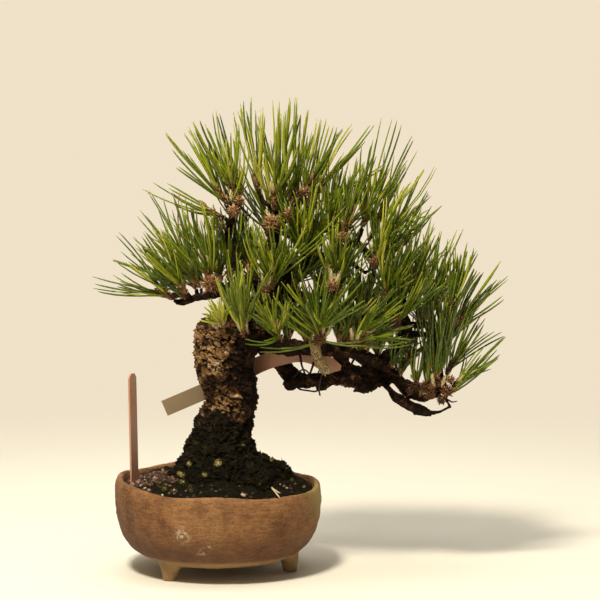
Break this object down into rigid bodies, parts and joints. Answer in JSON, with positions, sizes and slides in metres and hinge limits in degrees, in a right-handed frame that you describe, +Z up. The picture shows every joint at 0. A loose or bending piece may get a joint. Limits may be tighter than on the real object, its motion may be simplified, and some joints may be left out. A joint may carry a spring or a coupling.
{
  "type": "bonsai tree in a pot",
  "caption": "Small leaning pine bonsai with long paired needles, growing from mossy soil in a hand-made round bowl on stub feet.",
  "frame": {"origin": "middle of the bounding box's base, on the surface that the feet stand on", "axes": "+Z up, -Y towards the viewer of the picture, +X to the side that the tree leans to"},
  "size_m": [0.292, 0.158, 0.334],
  "materials": {
    "fired_clay": "matt unglazed stoneware, mottled",
    "soil_and_moss": "granular soil with moss",
    "bark": "rough flaking bark",
    "needles": "satin pine needles",
    "salmon_plastic": "matt",
    "taupe_plastic": "matt",
    "net_plastic": "matt",
    "wire": "dark anodised"
  },
  "bodies": {
    "root": {"drain_mesh": "net_plastic", "needles_back_1": "needles", "needles_back_2": "needles", "needles_back_3": "needles", "needles_back_4": "needles", "needles_back_5": "needles", "needles_crown_1": "needles", "needles_crown_10": "needles", "needles_crown_11": "needles", "needles_crown_2": "needles", "needles_crown_3": "needles", "needles_crown_4": "needles", "needles_crown_5": "needles", "needles_crown_6": "needles", "needles_crown_7": "needles", "needles_crown_8": "needles", "needles_crown_9": "needles", "needles_far_1": "needles", "needles_far_2": "needles", "needles_far_3": "needles", "needles_far_4": "needles", "needles_far_5": "needles", "needles_far_6": "needles", "needles_far_7": "needles", "needles_far_8": "needles", "needles_left_1": "needles", "needles_left_2": "needles", "needles_left_3": "needles", "needles_left_4": "needles", "needles_left_5": "needles", "needles_left_6": "needles", "needles_left_7": "needles", "needles_mid_1": "needles", "needles_mid_10": "needles", "needles_mid_2": "needles", "needles_mid_3": "needles", "needles_mid_4": "needles", "needles_mid_5": "needles", "needles_mid_6": "needles", "needles_mid_7": "needles", "needles_mid_8": "needles", "needles_mid_9": "needles", "needles_right_1": "needles", "needles_right_2": "needles", "needles_right_3": "needles", "needles_right_4": "needles", "needles_right_5": "needles", "needles_right_6": "needles", "needles_right_7": "needles", "needles_right_8": "needles", "needles_right_9": "needles", "plant_label": "salmon_plastic", "pot": "fired_clay", "soil": "soil_and_moss", "strip_label": "taupe_plastic", "training_wire": "wire", "tree_wood": "bark"}
  },
  "joints": []
}
